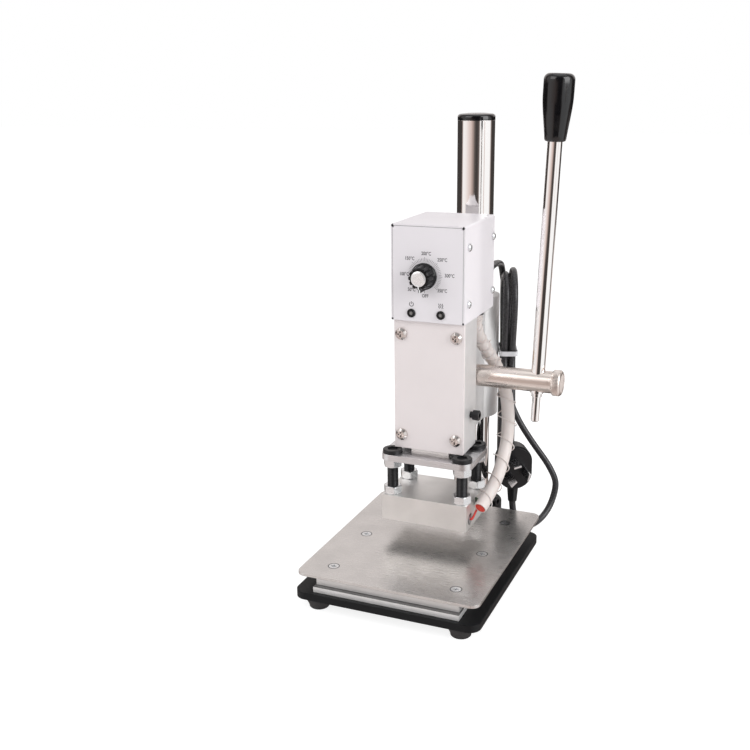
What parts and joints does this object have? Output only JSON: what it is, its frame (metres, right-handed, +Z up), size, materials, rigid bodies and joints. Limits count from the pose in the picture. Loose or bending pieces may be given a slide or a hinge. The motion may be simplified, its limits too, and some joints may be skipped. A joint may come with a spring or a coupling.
{
  "type": "hot foil stamping machine",
  "caption": "Hand-lever hot foil stamping press with a heated die block under a rack-driven ram, a sliding table, a round column, a dial thermostat box and a hanked mains cord.",
  "frame": {"origin": "centre of the table plate's top face, with the table pushed home", "axes": "+Z up; -Y towards the user; +X to the user's right, where the lever is"},
  "size_m": [0.167, 0.2426, 0.3832],
  "materials": {
    "black_paint": "satin black powder coat, fine grain",
    "black_rubber": "moulded rubber, matt",
    "zinc_steel": "bright zinc plate",
    "spring_steel": "drawn wire and turned steel",
    "black_oxide": "black oxide, oiled",
    "raw_aluminium": "milled, satin",
    "brushed_plate": "brushed plate, fine lines along the width",
    "chrome_plate": "polished plate",
    "nickel_plate": "polished nickel plate, slightly warm",
    "brass_blade": "turned brass",
    "bronze": "plain bearing bronze",
    "white_paint": "off-white powder coat, fine grain",
    "black_gloss": "moulded, glossy",
    "black_matt": "moulded, matt",
    "black_cord": "extruded jacket, low sheen",
    "grey_tie": "nylon strap",
    "silver_cap": "turned face",
    "lamp_lens": "clouded lens, unlit",
    "green_board": "lacquered laminate",
    "board_black": "moulded packages",
    "white_wrap": "spiral wrapped sleeve",
    "red_wire": "high temperature insulation"
  },
  "bodies": {
    "base": {"base_plate": "black_paint", "rubber_feet": "black_rubber", "foot_screws": "zinc_steel", "slide_rail": "raw_aluminium", "rail_screws": "zinc_steel", "column_socket": "black_paint", "socket_bolts": "black_oxide", "socket_clamp_screw": "black_oxide", "socket_washer": "zinc_steel", "column": "chrome_plate", "column_cap": "black_gloss"},
    "table": {"table_plate": "brushed_plate", "table_carriage": "raw_aluminium", "table_screws": "zinc_steel"},
    "head": {"head_body": "raw_aluminium", "front_cover": "white_paint", "cover_screws": "zinc_steel", "guide_liners": "black_matt", "gib_screw": "black_oxide", "pinion_bushes": "bronze", "clamp_screws": "black_oxide", "spring_anchor": "zinc_steel", "return_spring": "spring_steel", "box_chassis": "white_paint", "box_cover": "white_paint", "box_screws": "zinc_steel", "box_mount_screws": "zinc_steel", "thermostat_body": "black_matt", "lamp_bezels": "black_matt", "lamp_lenses": "lamp_lens", "control_board": "green_board", "board_spacers": "brass_blade", "board_parts": "board_black", "hose_grommet": "black_rubber", "heater_hose": "white_wrap", "cord_gland": "black_matt", "mains_cord_lead": "black_cord", "mains_cord_hank": "black_cord", "cord_tie": "grey_tie", "mains_cord_tail": "black_cord", "mains_plug": "black_matt", "plug_blades": "zinc_steel"},
    "ram": {"ram": "brushed_plate", "spring_plug": "zinc_steel", "ram_screws": "black_oxide", "hanger_plate": "brushed_plate", "hanger_bolts": "black_oxide", "bolt_nuts": "zinc_steel", "heating_block": "raw_aluminium", "heater_cartridges": "spring_steel", "thermocouple": "spring_steel", "heater_leads": "red_wire"},
    "lever": {"pinion_shaft": "nickel_plate", "lever_rod": "chrome_plate", "lever_grip": "black_gloss", "lever_lock_screw": "nickel_plate"},
    "knob": {"dial_knob": "black_matt", "knob_cap": "silver_cap", "knob_shaft": "zinc_steel"}
  },
  "joints": [
    {"name": "table_slide", "type": "slide", "parent": "base", "child": "table", "axis": [0, -1, 0], "range_m": [0, 0.06]},
    {"name": "head_height", "type": "slide", "parent": "base", "child": "head", "axis": [0, 0, 1], "range_m": [0, 0.06]},
    {"name": "lever_turn", "type": "hinge", "parent": "head", "child": "lever", "pos_m": [0, 0.047, 0.127], "axis": [1, 0, 0], "range_deg": [0, 80]},
    {"name": "ram_slide", "type": "slide", "parent": "head", "child": "ram", "axis": [0, 0, -1], "range_m": [0, 0.0148], "stiffness_N_per_m": 600, "springref_m": -0.05, "deforming": ["return_spring", "heater_hose"]},
    {"name": "dial_turn", "type": "hinge", "parent": "head", "child": "knob", "pos_m": [-0.0022, 0.0042, 0.2114], "axis": [0, 1, 0], "range_deg": [0, 315]}
  ],
  "couplings": [
    {"joint": "ram_slide", "follows": "lever_turn", "m_per_rad": 0.0105}
  ]
}
